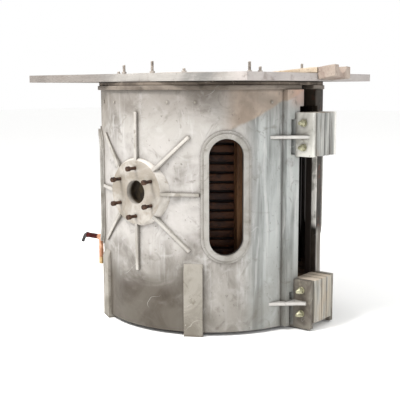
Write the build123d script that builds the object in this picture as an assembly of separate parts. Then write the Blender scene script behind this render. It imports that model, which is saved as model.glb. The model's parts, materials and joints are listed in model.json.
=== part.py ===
from build123d import *
import math
import os

os.makedirs("parts", exist_ok=True)

# Body of an electric induction melting furnace: a split aluminium shell round a water-cooled coil
# and a refractory crucible, without its tilting frame.
# Frame: +Z up, -Y is the pouring side, X is the trunnion axis. The origin is on the shell's own
# axis, on the floor. Azimuths on the left half run from the hub (-X) towards the pouring side.

# Half shells: a rolled and cast aluminium wall, open at the front and at the rear
shell_r = 500.0
wall_t = 28.0
floor_gap = 16.0
wall_h = 991.0
split_gap = 142.0
band_w = 72.0
band_rise = 23.0
ledge_w = 28.0
ledge_t = 8.0
lug_reach = 24.0
lug_h = 69.0

# Windows: upright slots with a rim in two steps, a low ledge and a raised lip round the opening
window_az = 44.6
window_w = 142.0
window_h = 476.0
window_z = 576.0
rim_w = 32.0
rim_ledge_rise = 6.0
rim_lip_w = 20.0
rim_rise = 16.0

# Trunnion hubs
hub_z = 588.0
hub_stand = 14.0
hub_face_r = 133.0
hub_base_r = 157.0
hub_plug_r = 125.0
hub_plug_depth = 27.0
trunnion_bore_r = 50.0
trunnion_bore_depth = 48.0
hub_bolt_circle_r = 100.0
hub_bolt_count = 6
hub_bolt_r = 7.0
hub_bolt_head_r = 10.5
hub_bolt_head_h = 16.0
hub_bolt_stickout = 50.0
hub_bolt_grip = 34.0
hub_hole_depth = 40.0
rib_count = 8
rib_w = 12.0
rib_end_r = 330.0
rib_end_h = 11.0

# Feet
foot_az = 29.2
foot_w = 78.0
foot_h = 304.0
foot_rise = 14.0
foot_bevel_h = 31.0
foot_sole_depth = 14.0

# Ear plates beside the splits, with their gussets, and the insulating blocks between them
ear_t = 26.0
ear_overhang = 95.0
upper_ear_drop = 93.0
upper_ear_h = 181.0
lower_ear_z0 = 7.0
lower_ear_h = 208.0
gusset_t = 12.0
gusset_span = 104.0
gusset_tip_back = 13.0
upper_gusset_lift = 82.0
lower_gusset_lift = 111.0
pocket_w = 24.0
upper_pocket_lift = 8.0
upper_pocket_h = 145.0
lower_pocket_h = 154.0
ear_bolt_inset = 43.0
ear_bolt_pitch = 100.0
upper_bolt_lift = 88.5
lower_bolt_lift = 114.5
ear_bolt_r = 8.0
ear_hole_clearance = 0.5
nut_af = 24.0
nut_t = 16.0
bolt_head_t = 13.0
ear_bolt_tail = 20.0
plate_count = 7
plate_proud = 8.0
plate_depth = 103.0
lower_plates_lift = 22.0
plate_unevenness = 3.0

# Top: flange halves, spacer ring and insulating board
flange_rise = 13.5
flange_inset = 12.0
flange_t = 18.0
flange_split = 95.0
spacer_rise = 7.0
spacer_inset = 32.0
spacer_t = 17.0
board_side_inset = 3.0
board_front_overhang = 48.5
board_rear_overhang = 171.5
board_t = 32.0
board_hole_clearance = 4.0

# Tie rods through the board: where they stand, and how far each was left above the board
rod_az = [-22.5, 3.5, 23.0, 59.0, 65.5, 137.6, 157.0, 202.5, 239.0, 301.0]
rod_rise = [40.0, 51.0, 20.0, 47.0, 27.0, 51.0, 20.0, 20.0, 18.0, 18.0]
rod_wall_gap = 42.0
rod_r = 6.5
rod_anchor = 60.0
rod_hole_clearance = 0.5
rod_nut_af = 19.0
rod_nut_t = 10.5

# Floor of the furnace
slab_clearance = 4.0
slab_rebate_clearance = 2.0
slab_t = 56.0
pedestal_t = 134.0

# Crucible lining
lining_to_wall = 176.0
collar_step = 38.0
collar_rise = 8.0
collar_t = 43.0
cavity_taper = 15.0
cavity_floor_t = 140.0
cavity_bevel = 45.0

# Coil of rectangular copper tube, its insulation and its posts
coil_gap = 0.3
insulation_t = 10.4
insulation_foot = 10.0
insulation_drop = 42.0
coil_tube_w = 22.0
coil_tube_h = 30.0
coil_turns = 17
coil_foot = 59.5
coil_drop = 104.0
coil_run = 30.0
terminal_w = 30.0
terminal_h = 40.0
terminal_d = 40.0
post_az = [-22.5, 23.0, 59.0, 104.5, 157.0, 202.5, 239.0, 301.0]
post_w = 50.0
post_t = 40.0

# Leads at the rear
lead_r = 13.0
lead_bore_r = 9.0
lower_lead_overhang = 116.5
upper_lead_inset = 31.5
socket_l = 8.0
socket_t = 2.0
nozzle_r = 8.5
nozzle_bore_r = 5.5
nozzle_mouth_depth = 20.0
nozzle_run = 12.0
nozzle_drop = 38.0
nozzle_reach = 20.0
tee_t = 2.5
tee_l = 32.0
drain_r = 12.0
drain_bore_r = 9.0
drain_back = 98.0
drain_end_z = 144.0
coupling_af = 23.0
coupling_h = 36.0

# Pouring spout: a ramped block on the board and a nose in front of it
spout_x = 78.0
spout_w = 137.0
channel_r = 33.0
channel_lift = 2.5
spout_root_h = 6.0
spout_front_h = 27.0
spout_crest_back = 48.5
spout_crest_dip = 2.0
channel_overrun = 50.0
nose_reach = 84.0
nose_drop = 30.0
nose_left_tip_rise = 38.5
nose_right_tip_rise = 27.5
nose_left_foot_drop = 13.5
nose_right_foot_drop = 25.5

# Worked-out places
wall_r = shell_r - wall_t
band_r = shell_r + band_rise
rim_r = shell_r + rim_rise
wall_z1 = floor_gap + wall_h
ledge_r = wall_r - ledge_w
ledge_z1 = floor_gap + ledge_t
split_x = split_gap / 2
hub_face_x = shell_r + hub_stand
hub_plug_end_x = wall_r - hub_plug_depth
ear_x = split_x + ear_t
ear_reach = shell_r + ear_overhang
ear_bolt_reach = ear_reach - ear_bolt_inset
upper_ear_z1 = wall_z1 - upper_ear_drop
upper_ear_z0 = upper_ear_z1 - upper_ear_h
lower_ear_z1 = lower_ear_z0 + lower_ear_h
upper_gusset_z = upper_ear_z0 + upper_gusset_lift
lower_gusset_z = lower_ear_z0 + lower_gusset_lift
upper_bolt_z = upper_ear_z0 + upper_bolt_lift
lower_bolt_z = lower_ear_z0 + lower_bolt_lift
upper_pocket_z0 = upper_ear_z0 + upper_pocket_lift
upper_pocket_z1 = upper_pocket_z0 + upper_pocket_h
lower_pocket_z1 = lower_ear_z0 + lower_pocket_h
flange_r = shell_r + flange_rise
flange_bore_r = wall_r - flange_inset
flange_z1 = wall_z1 + flange_t
spacer_r = shell_r + spacer_rise
spacer_bore_r = wall_r - spacer_inset
board_half_x = shell_r - board_side_inset
board_front_y = shell_r + board_front_overhang
board_rear_y = shell_r + board_rear_overhang
board_z0 = flange_z1 + spacer_t
board_z1 = board_z0 + board_t
slab_r = ledge_r - slab_clearance
slab_rebate_r = wall_r - slab_rebate_clearance
pedestal_z1 = slab_t + pedestal_t
rod_circle_r = wall_r - rod_wall_gap
rod_foot_z = pedestal_z1 - rod_anchor
lining_r = wall_r - lining_to_wall
collar_r = lining_r - collar_step
board_hole_r = collar_r + board_hole_clearance
cavity_top_r = collar_r - collar_t
cavity_foot_r = cavity_top_r - cavity_taper
cavity_floor_z = pedestal_z1 + cavity_floor_t
insulation_r = lining_r + coil_gap + insulation_t
insulation_z0 = pedestal_z1 + insulation_foot
insulation_z1 = board_z0 - insulation_drop
coil_r = insulation_r + coil_gap + coil_tube_w / 2
coil_outer_r = coil_r + coil_tube_w / 2
coil_z0 = pedestal_z1 + coil_foot
coil_pitch = (board_z0 - coil_drop - coil_z0) / coil_turns
post_r0 = coil_outer_r + coil_gap
channel_z = board_z1 + channel_lift
lower_lead_end_y = board_rear_y + lower_lead_overhang
upper_lead_end_y = board_rear_y - upper_lead_inset
drain_y = lower_lead_end_y - drain_back
spout_x0 = spout_x - spout_w / 2
spout_x1 = spout_x + spout_w / 2
rim_edge_az = window_az - math.degrees(math.asin((window_w / 2 + rim_w) / shell_r))
rim_edge_y = shell_r * math.sin(math.radians(rim_edge_az)) - 1
far = 2 * max(shell_r, board_rear_y)


def block(x0, x1, y0, y1, z0, z1):
    low_corner = (Align.MIN, Align.MIN, Align.MIN)
    return Pos(x0, y0, z0) * Box(x1 - x0, y1 - y0, z1 - z0, align=low_corner)


def disc(radius, z0, z1):
    return Pos(0, 0, z0) * Cylinder(radius, z1 - z0, align=(Align.CENTER, Align.CENTER, Align.MIN))


def annulus(r_in, r_out, z0, z1):
    return disc(r_out, z0, z1) - disc(r_in, z0 - 1, z1 + 1)


def across(radius, x0, x1, y, z):
    """Round bar along X."""
    bar = Plane(origin=(x0, y, z), z_dir=(1, 0, 0)) * Circle(radius)
    return extrude(bar, amount=x1 - x0)


def outward(azimuth, z=0.0):
    """Plane on the shell's axis that looks outwards at an azimuth, with its Y axis upright."""
    a = math.radians(azimuth)
    return Plane(origin=(0, 0, z), x_dir=(math.sin(a), -math.cos(a), 0),
                 z_dir=(-math.cos(a), -math.sin(a), 0))


def on_circle(radius, azimuth, z):
    a = math.radians(azimuth)
    return Pos(-radius * math.cos(a), -radius * math.sin(a), z)


def hexagon(across_flats, z0, z1):
    return extrude(Pos(0, 0, z0) * RegularPolygon(across_flats / 2, 6, major_radius=False), amount=z1 - z0)


def save(shape, name):
    export_step(shape, f"parts/{name}.step")


def save_pair(left, name):
    """Write the left piece and its mirror image on the right."""
    save(left, f"left_{name}")
    save(mirror(left, about=Plane.YZ), f"right_{name}")


def front_and_rear(piece):
    return [piece, mirror(piece, about=Plane.XZ)]


# Half shell: the wall, and what is welded to it
def left_of_split(piece):
    return piece & block(-far, -split_x, -far, far, 0, far)


def window_slot(azimuth, grow, reach):
    slot = SlotOverall(window_h + 2 * grow, window_w + 2 * grow, rotation=90)
    return extrude(outward(azimuth, window_z) * slot, amount=reach)


def half_shell():
    wall = left_of_split(annulus(wall_r, shell_r, floor_gap, wall_z1))
    for azimuth in (-window_az, window_az):
        wall -= window_slot(azimuth, 0, far)
    return wall - across(hub_plug_r + coil_gap, -far, 0, 0, hub_z)


def window_rim(azimuth):
    ledge = window_slot(azimuth, rim_w, far) & annulus(shell_r, shell_r + rim_ledge_rise, 0, wall_z1)
    lip = window_slot(azimuth, rim_lip_w, far) & annulus(shell_r, rim_r, 0, wall_z1)
    return ledge + lip - window_slot(azimuth, 0, far)


def band_pocket(z0, z1):
    """Room for a spanner beside an ear, cut through the edge bar down to the wall."""
    return block(-ear_x - pocket_w, -ear_x, -band_r - 1, -wall_r / 2, z0, z1)


def edge_bar():
    """Bar on the wall along the front split."""
    bar = annulus(shell_r, band_r, floor_gap, wall_z1) & block(-split_x - band_w, -split_x, -far, 0, 0, far)
    for z0, z1 in ((upper_pocket_z0, upper_pocket_z1), (floor_gap - 1, lower_pocket_z1)):
        bar -= band_pocket(z0, z1)
    return bar


def top_lug():
    """Lug at the top of the front edge bar, which reaches into the split."""
    zone = block(-split_x, -split_x + lug_reach, -far, 0, wall_z1 - lug_h, wall_z1)
    return annulus(wall_r, band_r, floor_gap, wall_z1) & zone


left_wall = half_shell()
left_rims = [window_rim(azimuth) for azimuth in (-window_az, window_az)]
left_bars = [edge_bar() + top_lug(), mirror(edge_bar(), about=Plane.XZ)]
left_shell = [left_wall] + left_rims + left_bars
save_pair(left_wall, "half_shell")
save_pair(Compound(left_rims), "window_rims")
save_pair(Compound(left_bars), "edge_bars")
save_pair(left_of_split(annulus(ledge_r, wall_r, floor_gap, ledge_z1)), "floor_ledge")


# Trunnion hub: a tapered boss on the wall and a plug through it, with a blind bore
def hub_axis_plane(x):
    return Plane(origin=(x, 0, hub_z), x_dir=(0, 1, 0), z_dir=(-1, 0, 0))


def hub_boss():
    face = hub_axis_plane(-hub_face_x) * Circle(hub_face_r)
    root = hub_axis_plane(-math.sqrt(shell_r ** 2 - hub_base_r ** 2)) * Circle(hub_base_r)
    boss = loft([face, root], ruled=True) - disc(shell_r, 0, far)
    plug = across(hub_plug_r, -hub_face_x, -hub_plug_end_x, 0, hub_z)
    hub = boss + plug
    hub -= across(trunnion_bore_r, -hub_face_x, -hub_face_x + trunnion_bore_depth, 0, hub_z)
    for y, z in hub_bolt_places():
        hub -= across(hub_bolt_r + ear_hole_clearance, -hub_face_x, -hub_face_x + hub_hole_depth, y, z)
    return hub


def hub_bolt_places():
    step = 360 / hub_bolt_count
    angles = [math.radians(90 + step * i) for i in range(hub_bolt_count)]
    return [(hub_bolt_circle_r * math.cos(a), hub_z + hub_bolt_circle_r * math.sin(a)) for a in angles]


left_hub = hub_boss()
save_pair(left_hub, "trunnion_hub")


def hub_rib(turn):
    """One web from the hub's face edge down to the wall, in the plane through the hub's axis."""
    across_y = math.cos(math.radians(turn))
    up_z = math.sin(math.radians(turn))
    end_r = min(rib_end_r, rim_edge_y / max(abs(across_y), 0.01))
    wall_x = math.sqrt(shell_r ** 2 - (end_r * across_y) ** 2)
    inner_r = hub_face_r - 20
    web = Plane(origin=(0, 0, hub_z), x_dir=(0, across_y, up_z), z_dir=(0, up_z, -across_y))
    side = -1 if web.y_dir.X > 0 else 1
    outline = Polyline((inner_r, side * hub_face_x), (hub_face_r, side * hub_face_x),
                       (end_r, side * (wall_x + rib_end_h)), (end_r, side * (wall_x - wall_t)),
                       (inner_r, side * wall_r), close=True)
    solid = extrude(web * make_face(outline), amount=rib_w / 2, both=True)
    return solid.cut(disc(shell_r, 0, far), left_hub, *left_shell)


def hub_ribs():
    return Compound([solid for i in range(rib_count) for solid in hub_rib(360 / rib_count * i).solids()])


save_pair(hub_ribs(), "hub_ribs")


def hub_bolt(y, z):
    tip_x = -hub_face_x - hub_bolt_stickout
    shank = across(hub_bolt_r, tip_x + 1, -hub_face_x + hub_bolt_grip, y, z)
    return shank + across(hub_bolt_head_r, tip_x, tip_x + hub_bolt_head_h, y, z)


save_pair(Compound([hub_bolt(y, z) for y, z in hub_bolt_places()]), "hub_bolts")


# Feet: a bar on the wall with a bevelled top, and a sole under the wall's edge
def foot(azimuth):
    face = shell_r + foot_rise
    side = Plane(origin=outward(azimuth).origin, x_dir=outward(azimuth).z_dir, z_dir=outward(azimuth).x_dir)
    up = 1 if side.y_dir.Z > 0 else -1
    outline = Polyline((wall_r, 0), (face, 0), (face, up * (foot_h - foot_bevel_h)),
                       (shell_r, up * foot_h), (wall_r, up * foot_h), close=True)
    bar = extrude(side * make_face(outline), amount=foot_w / 2, both=True) - disc(shell_r, 0, far)
    sole_inner_r = wall_r - foot_sole_depth
    sole_outer_r = shell_r + foot_rise / 2
    sole_outline = Polyline((sole_inner_r, 0), (sole_outer_r, 0), (sole_outer_r, up * floor_gap),
                            (sole_inner_r, up * floor_gap), close=True)
    sole = extrude(side * make_face(sole_outline), amount=foot_w / 2, both=True)
    return bar + sole


for place, azimuth in (("front", foot_az), ("rear", -foot_az)):
    save_pair(foot(azimuth), f"{place}_foot")


# Ear plates and gussets
def ear(z0, z1, gusset_z, bolt_z):
    plate = block(-ear_x, -split_x, -ear_reach, -wall_r, z0, z1)
    tip = (-ear_x, -ear_reach + gusset_tip_back)
    span_x = ear_x + gusset_span
    on_wall = (-span_x, -math.sqrt(shell_r ** 2 - span_x ** 2))
    mid_r = shell_r - wall_t / 2
    in_wall = (-span_x, -math.sqrt(mid_r ** 2 - span_x ** 2))
    root = (-ear_x + 1, -math.sqrt(mid_r ** 2 - ear_x ** 2))
    outline = make_face(Polyline(tip, on_wall, in_wall, root, (-ear_x + 1, tip[1]), close=True))
    gusset = extrude(Pos(0, 0, gusset_z - gusset_t / 2) * outline, amount=gusset_t)
    whole = (plate + gusset).cut(*left_shell)
    for z in bolt_heights(bolt_z):
        whole -= across(ear_bolt_r + ear_hole_clearance, -ear_x - 1, 0, -ear_bolt_reach, z)
    return whole


def bolt_heights(middle):
    return (middle - ear_bolt_pitch / 2, middle + ear_bolt_pitch / 2)


levels = {
    "upper": (upper_ear_z0, upper_ear_z1, upper_gusset_z, upper_bolt_z),
    "lower": (lower_ear_z0, lower_ear_z1, lower_gusset_z, lower_bolt_z),
}
for level, sizes in levels.items():
    for place, plate in zip(("front", "rear"), front_and_rear(ear(*sizes))):
        save_pair(plate, f"{place}_{level}_ear")


# Insulating blocks: bonded upright plates of slightly uneven reach and height between the ears
def bonded_plates(z0, z1, bolt_z):
    plate_t = split_gap / plate_count
    y0 = -ear_reach - plate_proud
    plates = []
    for i in range(plate_count):
        uneven = plate_unevenness * ((3 * i) % plate_count) / plate_count
        x0 = -split_x + plate_t * i
        plates.append(block(x0, x0 + plate_t, y0 + uneven, y0 + plate_depth, z0 + uneven, z1 - uneven))
    whole = plates[0].fuse(*plates[1:])
    for z in bolt_heights(bolt_z):
        whole -= across(ear_bolt_r + ear_hole_clearance, -split_x - 1, split_x + 1, -ear_bolt_reach, z)
    return whole


stacks = {
    "upper": bonded_plates(upper_ear_z0, upper_ear_z1, upper_bolt_z),
    "lower": bonded_plates(lower_ear_z0 + lower_plates_lift, lower_ear_z1, lower_bolt_z),
}
for level, stack in stacks.items():
    for place, plates in zip(("front", "rear"), front_and_rear(stack)):
        save(plates, f"{place}_{level}_insulating_block")


# Ear bolts with their nuts
def lay_along_x(piece, x, y, z):
    """Turn an upright piece so that its +Z end points to -X, and put its foot at x, y, z."""
    return Pos(x, y, z) * Rot(0, -90, 0) * piece


def ear_bolt():
    shank = disc(ear_bolt_r, 0, 2 * ear_x + nut_t + ear_bolt_tail)
    return shank + hexagon(nut_af, -bolt_head_t, 0)


def nut(across_flats, bore_r, thickness):
    return hexagon(across_flats, 0, thickness) - disc(bore_r, -1, thickness + 1)


fit = 0.1
ear_bolt_places = [(side * ear_bolt_reach, z) for side in (-1, 1)
                   for middle in (upper_bolt_z, lower_bolt_z) for z in bolt_heights(middle)]
ear_nut = nut(nut_af, ear_bolt_r + fit, nut_t)
save(Compound([lay_along_x(ear_bolt(), ear_x, y, z) for y, z in ear_bolt_places]), "ear_bolts")
save(Compound([lay_along_x(ear_nut, -ear_x, y, z) for y, z in ear_bolt_places]), "ear_nuts")

# Top flange halves, spacer ring and board
flange = annulus(flange_bore_r, flange_r, wall_z1, flange_z1)
save_pair(flange & block(-far, -flange_split / 2, -far, far, 0, far), "top_flange")
save(annulus(spacer_bore_r, spacer_r, flange_z1, board_z0), "spacer_ring")


board = block(-board_half_x, board_half_x, -board_front_y, board_rear_y, board_z0, board_z1)
board -= disc(board_hole_r, board_z0 - 1, board_z1 + 1)
for azimuth in rod_az:
    board -= on_circle(rod_circle_r, azimuth, 0) * disc(rod_r + rod_hole_clearance, board_z0 - 1, board_z1 + 1)
save(board, "top_board")

# Tie rods from the pedestal block to above the board, with a nut on each
def at_tie_rods(piece):
    return [on_circle(rod_circle_r, azimuth, 0) * piece for azimuth in rod_az]


rods = [on_circle(rod_circle_r, azimuth, 0) * disc(rod_r, rod_foot_z, board_z1 + rise)
        for azimuth, rise in zip(rod_az, rod_rise)]
rod_nut = Pos(0, 0, board_z1) * nut(rod_nut_af, rod_r + fit, rod_nut_t)
save(Compound(rods), "tie_rods")
save(Compound(at_tie_rods(rod_nut)), "tie_rod_nuts")

# Floor: a slab whose rebate rests on the shell's ledges, and the pedestal on it
pedestal = disc(slab_rebate_r, slab_t, pedestal_z1)
for hole in at_tie_rods(disc(rod_r + fit, rod_foot_z, pedestal_z1 + 1)):
    pedestal -= hole
save(disc(slab_r, 0, slab_t) + disc(slab_rebate_r, ledge_z1, slab_t), "base_slab")
save(pedestal, "pedestal_block")


# Crucible lining: a thick cup whose collar comes up through the board
def crucible_lining():
    body = disc(lining_r, pedestal_z1, board_z0) + disc(collar_r, board_z0 - 1, board_z1 + collar_rise)
    top_z = board_z1 + collar_rise
    half_section = Polyline((0, cavity_floor_z), (cavity_foot_r - cavity_bevel, cavity_floor_z),
                            (cavity_foot_r, cavity_floor_z + cavity_bevel), (cavity_top_r, top_z + 1),
                            (0, top_z + 1), close=True)
    cavity = revolve(Plane.XZ * make_face(half_section), Axis.Z, 360)
    return body - cavity - spout_channel()


# Pouring spout
def spout_channel():
    """Round-bottomed trough from the crucible's mouth to past the nose."""
    floor_r = channel_r
    start = -cavity_top_r / 2
    plane = Plane(origin=(spout_x, start, channel_z + floor_r), z_dir=(0, -1, 0))
    reach = board_front_y + nose_reach + start + channel_overrun
    trough = extrude(plane * Circle(floor_r), amount=reach)
    above = block(spout_x - floor_r, spout_x + floor_r, start - reach, start, channel_z + floor_r, far)
    return trough + above


def spout_block():
    crest_y = board_front_y - spout_crest_back
    crest_z = board_z1 + spout_front_h - spout_crest_dip
    outline = Polyline((-board_front_y, board_z1), (-board_front_y, board_z1 + spout_front_h),
                       (-crest_y, crest_z), (-collar_r, board_z1 + spout_root_h),
                       (-collar_r / 2, board_z1 + spout_root_h), (-collar_r / 2, board_z1), close=True)
    side = Plane(origin=(spout_x0, 0, 0), x_dir=(0, 1, 0), z_dir=(1, 0, 0))
    ramp = extrude(side * make_face(outline), amount=spout_w)
    return ramp - disc(collar_r + coil_gap, board_z1 - 1, far) - spout_channel()


def nose_side(x, tip_rise, foot_drop):
    y0 = -board_front_y
    y1 = y0 - nose_reach
    side = Plane(origin=(x, 0, 0), x_dir=(0, 1, 0), z_dir=(1, 0, 0))
    outline = Polyline((y0, board_z1 - nose_drop), (y0, board_z1 + spout_front_h), (y1, board_z1 + tip_rise),
                       (y1, board_z1 - foot_drop), close=True)
    return side * make_face(outline)


def spout_nose():
    left = nose_side(spout_x0, nose_left_tip_rise, nose_left_foot_drop)
    right = nose_side(spout_x1, nose_right_tip_rise, nose_right_foot_drop)
    return loft([left, right], ruled=True) - spout_channel()


save(crucible_lining(), "crucible_lining")
save(spout_block(), "spout_block")
save(spout_nose(), "spout_nose")

# Coil insulation and posts
save(annulus(lining_r + coil_gap, insulation_r, insulation_z0, insulation_z1), "coil_insulation")


def coil_post(azimuth):
    face = outward(azimuth, pedestal_z1) * Pos(0, (board_z0 - pedestal_z1) / 2, post_r0 - 5)
    bar = extrude(face * Rectangle(post_w, board_z0 - pedestal_z1), amount=post_t + 5)
    return bar - disc(post_r0, 0, far)


save(Compound([coil_post(azimuth) for azimuth in post_az]), "coil_posts")


# Coil: one helix of rectangular tube with a straight run at each end, as arcs that meet in tangent
sweep_angle = 360.0 * coil_turns
climb = coil_pitch / (2 * math.pi)


def helix_point(turned):
    """Point after an angle of winding, from the lower end in the middle of the rear."""
    a = math.radians(90 - turned)
    return Vector(coil_r * math.cos(a), coil_r * math.sin(a), coil_z0 + climb * math.radians(turned))


def helix_tangent(turned):
    a = math.radians(90 - turned)
    return Vector(coil_r * math.sin(a), -coil_r * math.cos(a), climb).normalized()


def two_arcs(from_angle, to_angle):
    """Two arcs that leave and reach the helix along its tangents and meet in tangent."""
    p0 = helix_point(from_angle)
    p1 = helix_point(to_angle)
    d0 = helix_tangent(from_angle)
    d1 = helix_tangent(to_angle)
    chord = p1 - p0
    a = 2 * (1 - d0.dot(d1))
    b = chord.dot(d0 + d1)
    reach = (math.sqrt(b * b + a * chord.dot(chord)) - b) / a
    knee0 = p0 + d0 * reach
    knee1 = p1 - d1 * reach
    middle = (knee0 + knee1) * 0.5
    return [Edge.make_tangent_arc(p0, d0, middle), Edge.make_tangent_arc(middle, knee1 - knee0, p1)]


def straight_end(turned, direction):
    """Straight run of the tube, along the helix's tangent where the winding begins or stops."""
    start = Plane(origin=helix_point(turned), x_dir=(0, 1, 0), z_dir=direction)
    return extrude(start * Rectangle(coil_tube_w, coil_tube_h), amount=coil_run)


def induction_coil():
    arcs = []
    for i in range(2 * coil_turns):
        arcs += two_arcs(180 * i, 180 * (i + 1))
    start = Plane(origin=helix_point(0), x_dir=(0, 1, 0), z_dir=helix_tangent(0))
    upright = Edge.make_line((0, 0, coil_z0), (0, 0, coil_z0 + coil_pitch * coil_turns))
    winding = sweep(start * Rectangle(coil_tube_w, coil_tube_h), path=Wire(arcs), binormal=upright)
    return winding + straight_end(0, -helix_tangent(0)) + straight_end(sweep_angle, helix_tangent(sweep_angle))


def least_coil_gap():
    """Least clear height between neighbouring turns, measured on points one turn apart."""
    gaps = []
    for i in range(0, int(sweep_angle) - 360, 30):
        gaps.append(helix_point(i + 360).Z - helix_point(i).Z - coil_tube_h)
    return min(gaps)


print("least gap between coil turns, mm:", round(least_coil_gap(), 2))
save(induction_coil(), "induction_coil")

# Terminal blocks square on the coil's ends, and the leads that come out behind
lower_end = helix_point(0) - helix_tangent(0) * coil_run
upper_end = helix_point(sweep_angle) + helix_tangent(sweep_angle) * coil_run
lower_terminal_at = lower_end - helix_tangent(0) * (terminal_w / 2)
upper_terminal_at = upper_end + helix_tangent(sweep_angle) * (terminal_w / 2)
lead_y0 = coil_r - coil_tube_w / 2 + terminal_d


def terminal(end, away):
    face = Plane(origin=end, x_dir=(0, 1, 0), z_dir=away) * Pos((terminal_d - coil_tube_w) / 2, 0, 0)
    return extrude(face * Rectangle(terminal_d, terminal_h), amount=terminal_w)


def tube_along_y(radius, x, y0, y1, z):
    return extrude(Plane(origin=(x, y0, z), z_dir=(0, 1, 0)) * Circle(radius), amount=y1 - y0)


def lead(at, y1):
    bore = tube_along_y(lead_bore_r, at.X, lead_y0 - 1, y1 + 1, at.Z)
    return tube_along_y(lead_r, at.X, lead_y0, y1, at.Z) - bore


save(Compound([terminal(lower_end, -helix_tangent(0)), terminal(upper_end, helix_tangent(sweep_angle))]),
     "coil_terminals")
save(lead(lower_terminal_at, lower_lead_end_y), "lower_lead")
save(lead(upper_terminal_at, upper_lead_end_y), "upper_lead")


# Hose nozzles on the leads' ends: a socket and a spigot bent down
def hose_nozzle(at, y):
    y_bend = y + socket_l + nozzle_run
    path = FilletPolyline((at.X, y + socket_l, at.Z), (at.X, y_bend, at.Z),
                          (at.X, y_bend + nozzle_reach, at.Z - nozzle_drop), radius=nozzle_run)
    start = Plane(origin=(at.X, y + socket_l, at.Z), z_dir=(0, 1, 0))
    tip = Plane(origin=path @ 1, z_dir=-(path % 1))
    mouth = extrude(tip * Circle(nozzle_bore_r), amount=nozzle_mouth_depth)
    socket = tube_along_y(lead_r + socket_t, at.X, y, y + socket_l, at.Z)
    return socket + sweep(start * Circle(nozzle_r), path=path) - mouth


save(Compound([hose_nozzle(lower_terminal_at, lower_lead_end_y), hose_nozzle(upper_terminal_at, upper_lead_end_y)]),
     "hose_nozzles")

# Drain branch under the lower lead: a copper pipe with a saddle round the lead, and a brass coupling
drain_x = lower_terminal_at.X
drain_top_z = lower_terminal_at.Z
drain_pipe = tube_along_y(lead_r + tee_t, drain_x, drain_y - tee_l / 2, drain_y + tee_l / 2, drain_top_z)
drain_pipe += Pos(drain_x, drain_y, 0) * disc(drain_r, drain_end_z, drain_top_z)
drain_pipe -= tube_along_y(lead_r, drain_x, drain_y - tee_l, drain_y + tee_l, drain_top_z)
drain_pipe -= Pos(drain_x, drain_y, 0) * disc(drain_bore_r, drain_end_z - 1, drain_top_z)
coupling = hexagon(coupling_af, drain_end_z - coupling_h, drain_end_z)
coupling -= disc(drain_bore_r, drain_end_z - coupling_h - 1, drain_end_z + 1)
save(drain_pipe, "drain_pipe")
save(Pos(drain_x, drain_y, 0) * coupling, "drain_coupling")
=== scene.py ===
import json
import math
import bpy
from mathutils import Euler, Matrix, Vector


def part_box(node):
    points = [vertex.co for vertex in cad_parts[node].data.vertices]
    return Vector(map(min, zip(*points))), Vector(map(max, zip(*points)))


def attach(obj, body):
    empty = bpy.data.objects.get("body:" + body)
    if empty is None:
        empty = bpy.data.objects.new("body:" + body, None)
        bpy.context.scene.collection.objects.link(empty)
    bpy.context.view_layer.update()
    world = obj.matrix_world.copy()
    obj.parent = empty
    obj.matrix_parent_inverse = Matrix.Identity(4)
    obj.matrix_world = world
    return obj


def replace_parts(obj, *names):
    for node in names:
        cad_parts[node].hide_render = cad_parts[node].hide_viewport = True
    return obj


# Looks of the induction furnace: a weathered aluminium shell round a dark coil, under a grey board

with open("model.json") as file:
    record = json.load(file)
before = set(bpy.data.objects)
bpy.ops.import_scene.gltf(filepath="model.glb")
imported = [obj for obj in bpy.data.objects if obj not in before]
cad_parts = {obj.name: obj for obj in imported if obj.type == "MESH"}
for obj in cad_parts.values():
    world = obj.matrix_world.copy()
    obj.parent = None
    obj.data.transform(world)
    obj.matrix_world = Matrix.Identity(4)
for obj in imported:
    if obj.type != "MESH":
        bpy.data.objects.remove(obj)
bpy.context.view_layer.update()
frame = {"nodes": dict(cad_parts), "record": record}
nodes = frame["nodes"]
mounts = {mount["name"]: mount for mount in frame["record"]["mounts"]}
MM = 0.001
HUB_Z = mounts["left_trunnion_bore"]["pos_m"][2] / MM
BORE_R = mounts["left_trunnion_bore"]["dims"]["r_mm"]
HUB_FACE_X = mounts["right_trunnion_bolts"]["pos_m"][0] / MM
HUB_SCREW_R = mounts["left_trunnion_bolts"]["dims"]["stud_r_mm"]
SHELL_R = 500.0
SPLIT_X = 71.0
EAR_FACE_X = 97.0

# Camera, light and floor
CAMERA_AT = Vector((-2.8463, -2.1899, 1.0107))
CAMERA_YAW = math.radians(-51.602)
CAMERA_PITCH = math.radians(-8.148)
CAMERA_ROLL = math.radians(-0.224)
LENS_MM = 69.85
SENSOR_MM = 36.0


def add_camera():
    data = bpy.data.cameras.new("camera")
    data.lens = LENS_MM
    data.sensor_width = SENSOR_MM
    camera = bpy.data.objects.new("camera", data)
    aim = Euler((math.pi / 2 + CAMERA_PITCH, 0, CAMERA_YAW)).to_matrix()
    turn = aim @ Matrix.Rotation(CAMERA_ROLL, 3, "Z")
    camera.matrix_world = Matrix.Translation(CAMERA_AT) @ turn.to_4x4()
    bpy.context.scene.collection.objects.link(camera)
    bpy.context.scene.camera = camera


def add_softbox(name, at, aim, size, power, tint):
    data = bpy.data.lights.new(name, "AREA")
    data.shape = "RECTANGLE"
    data.size = size[0]
    data.size_y = size[1]
    data.energy = power
    data.color = tint
    lamp = bpy.data.objects.new(name, data)
    lamp.rotation_euler = (Vector(aim) - Vector(at)).to_track_quat("-Z", "Y").to_euler()
    lamp.location = at
    bpy.context.scene.collection.objects.link(lamp)


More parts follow.
